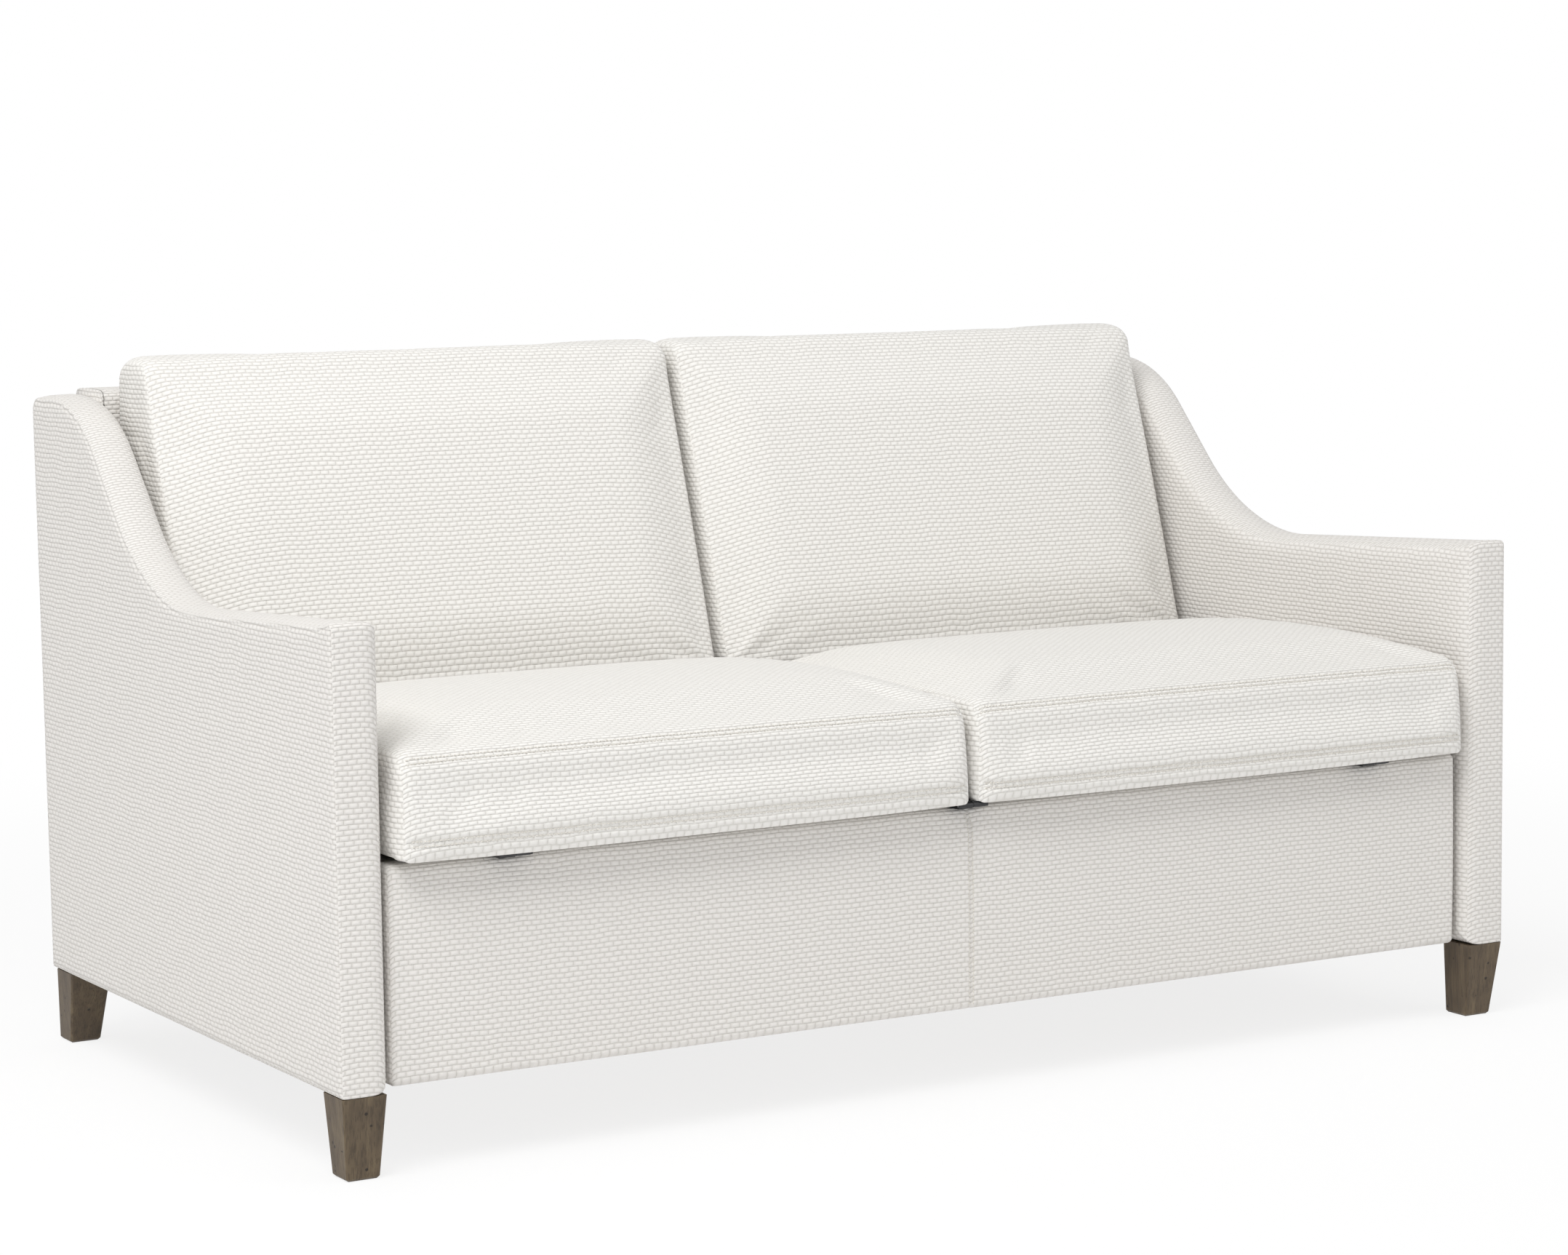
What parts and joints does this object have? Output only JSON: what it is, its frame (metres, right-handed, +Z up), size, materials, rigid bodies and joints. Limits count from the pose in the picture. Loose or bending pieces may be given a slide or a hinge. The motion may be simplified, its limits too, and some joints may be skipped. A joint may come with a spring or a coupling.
{
  "type": "sleeper sofa",
  "caption": "Sleeper sofa with slim arms that sweep up to the back, loose back cushions, and a seat that pulls out and turns over to make a bed.",
  "frame": {"origin": "on the floor, under the middle of the sofa's overall box", "axes": "+X across the sofa, +Y from the front to the back, +Z up"},
  "size_m": [1.68, 0.9598, 0.908],
  "materials": {
    "upholstery_fabric": "raised woven matelasse, matt",
    "cushion_fabric": "raised woven matelasse, matt",
    "leg_wood": "weathered grey-brown stain, satin",
    "mattress_ticking": "quilted knit ticking, matt",
    "plywood": "raw birch plywood",
    "frame_timber": "raw kiln-dried timber",
    "painted_steel": "satin black powder coat",
    "zinc_steel": "bright zinc plate",
    "rubber": "matt"
  },
  "bodies": {
    "sofa_frame": {"arm_board_left": "plywood", "arm_board_right": "plywood", "arm_cover_left": "upholstery_fabric", "arm_cover_right": "upholstery_fabric", "leg_front_left": "leg_wood", "leg_front_right": "leg_wood", "leg_rear_left": "leg_wood", "leg_rear_right": "leg_wood", "slide_outer_left": "zinc_steel", "slide_outer_right": "zinc_steel", "leg_bolts": "zinc_steel", "back_cover": "upholstery_fabric", "back_top_cover": "upholstery_fabric", "back_board": "plywood", "back_top_rail": "frame_timber", "back_low_rail": "frame_timber", "base_stretcher": "painted_steel", "cushion_rail": "painted_steel", "frame_brackets": "painted_steel"},
    "slide_left": {"slide_middle_left": "zinc_steel"},
    "slide_right": {"slide_middle_right": "zinc_steel"},
    "bed_carriage": {"slide_inner_left": "zinc_steel", "slide_inner_right": "zinc_steel", "side_rail_left": "painted_steel", "side_rail_right": "painted_steel", "front_panel_board": "plywood", "front_panel_cover": "upholstery_fabric", "panel_brackets": "painted_steel", "front_cross_tube": "painted_steel", "rear_cross_tube": "painted_steel", "centre_mattress": "mattress_ticking", "centre_deck": "plywood", "flip_hinge_leaves_low": "painted_steel", "flip_hinge_pins": "zinc_steel", "bed_leg_brackets": "painted_steel", "bed_leg_pins": "zinc_steel", "head_ears": "painted_steel", "head_pins": "zinc_steel", "seat_rests": "painted_steel", "seat_rest_pads": "rubber"},
    "seat_section": {"seat_cushion_left": "cushion_fabric", "seat_cushion_right": "cushion_fabric", "seat_side_bar_left": "painted_steel", "seat_side_bar_right": "painted_steel", "flip_hinge_leaves_high": "painted_steel", "seat_deck": "plywood", "seat_front_bar": "painted_steel", "foot_mattress": "mattress_ticking", "foot_leg_pivots": "zinc_steel"},
    "foot_leg_left": {"foot_leg_left": "painted_steel"},
    "foot_leg_right": {"foot_leg_right": "painted_steel"},
    "bed_leg_left": {"bed_leg_left": "painted_steel"},
    "bed_leg_right": {"bed_leg_right": "painted_steel"},
    "head_section": {"head_bar_left": "painted_steel", "head_bar_right": "painted_steel", "head_mattress": "mattress_ticking", "head_deck": "plywood"},
    "back_cushion_left": {"back_cushion_left": "cushion_fabric"},
    "back_cushion_right": {"back_cushion_right": "cushion_fabric"}
  },
  "joints": [
    {"name": "bed_pull", "type": "slide", "parent": "sofa_frame", "child": "bed_carriage", "axis": [0, -1, 0], "range_m": [0, 0.43]},
    {"name": "slide_travel_left", "type": "slide", "parent": "sofa_frame", "child": "slide_left", "axis": [0, -1, 0], "range_m": [0, 0.2151]},
    {"name": "slide_travel_right", "type": "slide", "parent": "sofa_frame", "child": "slide_right", "axis": [0, -1, 0], "range_m": [0, 0.2151]},
    {"name": "head_tip", "type": "hinge", "parent": "bed_carriage", "child": "head_section", "pos_m": [0, 0.327, 0.354], "axis": [-1, 0, 0], "range_deg": [0, 90.01]},
    {"name": "bed_leg_fold_left", "type": "hinge", "parent": "bed_carriage", "child": "bed_leg_left", "pos_m": [0, -0.385, 0.168], "axis": [-1, 0, 0], "range_deg": [0, 90.01]},
    {"name": "bed_leg_fold_right", "type": "hinge", "parent": "bed_carriage", "child": "bed_leg_right", "pos_m": [0, -0.385, 0.168], "axis": [-1, 0, 0], "range_deg": [0, 90.01]},
    {"name": "seat_flip", "type": "hinge", "parent": "bed_carriage", "child": "seat_section", "pos_m": [0, -0.464, 0.358], "axis": [1, 0, 0], "range_deg": [0, 180]},
    {"name": "foot_leg_fold_left", "type": "hinge", "parent": "seat_section", "child": "foot_leg_left", "pos_m": [0, 0.08, 0.4], "axis": [-1, 0, 0], "range_deg": [0, 90]},
    {"name": "foot_leg_fold_right", "type": "hinge", "parent": "seat_section", "child": "foot_leg_right", "pos_m": [0, 0.08, 0.4], "axis": [-1, 0, 0], "range_deg": [0, 90]},
    {"name": "back_cushion_lift_left", "type": "slide", "parent": "sofa_frame", "child": "back_cushion_left", "axis": [0, 0, 1], "range_m": [0, 0.25]},
    {"name": "back_cushion_lift_right", "type": "slide", "parent": "sofa_frame", "child": "back_cushion_right", "axis": [0, 0, 1], "range_m": [0, 0.25]}
  ],
  "couplings": [
    {"joint": "slide_travel_left", "follows": "bed_pull", "ratio": 0.5},
    {"joint": "slide_travel_right", "follows": "bed_pull", "ratio": 0.5},
    {"joint": "head_tip", "follows": "bed_pull", "rad_per_m": 3.653},
    {"joint": "bed_leg_fold_left", "follows": "bed_pull", "rad_per_m": 3.653},
    {"joint": "bed_leg_fold_right", "follows": "bed_pull", "rad_per_m": 3.653}
  ]
}
